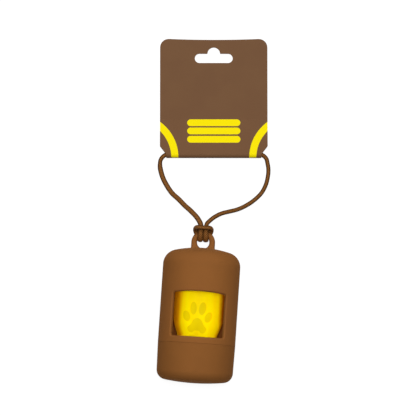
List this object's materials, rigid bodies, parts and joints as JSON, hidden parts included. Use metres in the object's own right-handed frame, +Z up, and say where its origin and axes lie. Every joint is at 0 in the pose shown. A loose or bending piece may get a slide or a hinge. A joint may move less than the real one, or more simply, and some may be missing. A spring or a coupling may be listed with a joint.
{
  "type": "dog poop bag dispenser",
  "caption": "Soft cylindrical bag dispenser with a window, a push-fit end cup, a loose bag roll and a cord loop hitched through its eye, on a folded hang card.",
  "frame": {"origin": "on the surface it lies on, under the middle of the dispenser's box: sleeve, cup and eye, without the cord and card", "axes": "+Z up, out of the window; +Y along the dispenser from the cup to the eye; +X to the right, seen from above with the eye at the top"},
  "size_m": [0.0747, 0.2203, 0.048],
  "materials": {
    "silicone": "soft matte",
    "bag_film": "thin satin film",
    "cardboard": "bare greyboard",
    "cord": "fine round braid",
    "joiner": "shrunk sleeve",
    "printed_card": "printed matte card"
  },
  "bodies": {
    "dispenser": {"shell": "silicone"},
    "cap": {"end_cap": "silicone"},
    "roll": {"bag_roll": "bag_film", "first_bag": "bag_film", "roll_core": "cardboard"},
    "lanyard": {"lanyard_hitch": "cord", "lanyard_loop": "cord", "cord_joiner": "joiner"},
    "card": {"hang_card": "printed_card"}
  },
  "joints": [
    {"name": "cap_pull", "type": "slide", "parent": "dispenser", "child": "cap", "axis": [0, -1, 0], "range_m": [0, 0.045]},
    {"name": "roll_spin", "type": "hinge", "parent": "dispenser", "child": "roll", "pos_m": [0, 0, 0.01875], "axis": [0, 1, 0], "continuous": true},
    {"name": "lanyard_swing", "type": "hinge", "parent": "dispenser", "child": "lanyard", "pos_m": [0, 0.0456, 0.024], "axis": [1, 0, 0], "range_deg": [0, 90]},
    {"name": "card_swing", "type": "hinge", "parent": "lanyard", "child": "card", "pos_m": [0.003, 0.0975, 0.00235], "axis": [0.9979, 0.0654, 0], "range_deg": [0, 90]}
  ]
}
